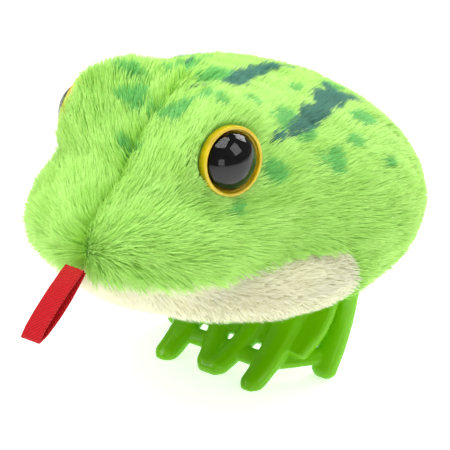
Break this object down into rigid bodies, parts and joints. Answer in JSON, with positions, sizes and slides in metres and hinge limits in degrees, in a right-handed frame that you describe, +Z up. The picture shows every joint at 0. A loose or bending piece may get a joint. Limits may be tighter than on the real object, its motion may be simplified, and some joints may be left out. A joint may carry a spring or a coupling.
{
  "type": "plush frog claw clip",
  "caption": "Plush frog mounted on a sprung plastic claw clip, with domed eyes and a ribbon tongue.",
  "frame": {"origin": "middle of the part's outline on the plane that the prong tips stand on", "axes": "+Z up, +Y from the nose to the rump, +X to the frog's left"},
  "size_m": [0.0984, 0.1216, 0.0862],
  "materials": {
    "lime_plush": "short plush pile",
    "cream_plush": "short plush pile",
    "lining_fabric": "woven",
    "fill_fibre": "loose fibre",
    "eye_clear": "polished",
    "eye_yellow": "gloss",
    "eye_black": "gloss",
    "washer_white": "matte",
    "red_ribbon": "twill satin",
    "claw_plastic": "gloss",
    "steel": "bright"
  },
  "bodies": {
    "plush_body": {"face_panel_left": "lime_plush", "face_panel_right": "lime_plush", "back_panel": "lime_plush", "belly_panel": "lime_plush", "chin_panel": "cream_plush", "clip_pocket": "lining_fabric", "stuffing": "fill_fibre", "eye_lens_left": "eye_clear", "eye_lens_right": "eye_clear", "eye_iris_left": "eye_yellow", "eye_iris_right": "eye_yellow", "eye_pupil_left": "eye_black", "eye_pupil_right": "eye_black", "eye_washer_left": "washer_white", "eye_washer_right": "washer_white", "hinge_pin": "steel", "torsion_spring": "steel", "pin_cap_left": "steel", "pin_cap_right": "steel"},
    "rear_jaw": {"rear_jaw": "claw_plastic"},
    "front_jaw": {"front_jaw": "claw_plastic"},
    "tongue": {"tongue_ribbon": "red_ribbon"}
  },
  "joints": [
    {"name": "rear_jaw_hinge", "type": "hinge", "parent": "plush_body", "child": "rear_jaw", "pos_m": [0, 0.0105, 0.046], "axis": [1, 0, 0], "range_deg": [0, 18], "stiffness_Nm_per_rad": 0.15, "springref_deg": -40.11, "deforming": ["torsion_spring"]},
    {"name": "front_jaw_hinge", "type": "hinge", "parent": "plush_body", "child": "front_jaw", "pos_m": [0, 0.0105, 0.046], "axis": [1, 0, 0], "range_deg": [-18, 0], "deforming": ["torsion_spring"]},
    {"name": "tongue_flap", "type": "hinge", "parent": "plush_body", "child": "tongue", "pos_m": [0, -0.043, 0.047], "axis": [1, 0, 0], "range_deg": [-25, 20], "stiffness_Nm_per_rad": 0.0005}
  ],
  "couplings": [
    {"joint": "front_jaw_hinge", "follows": "rear_jaw_hinge", "ratio": -1}
  ]
}
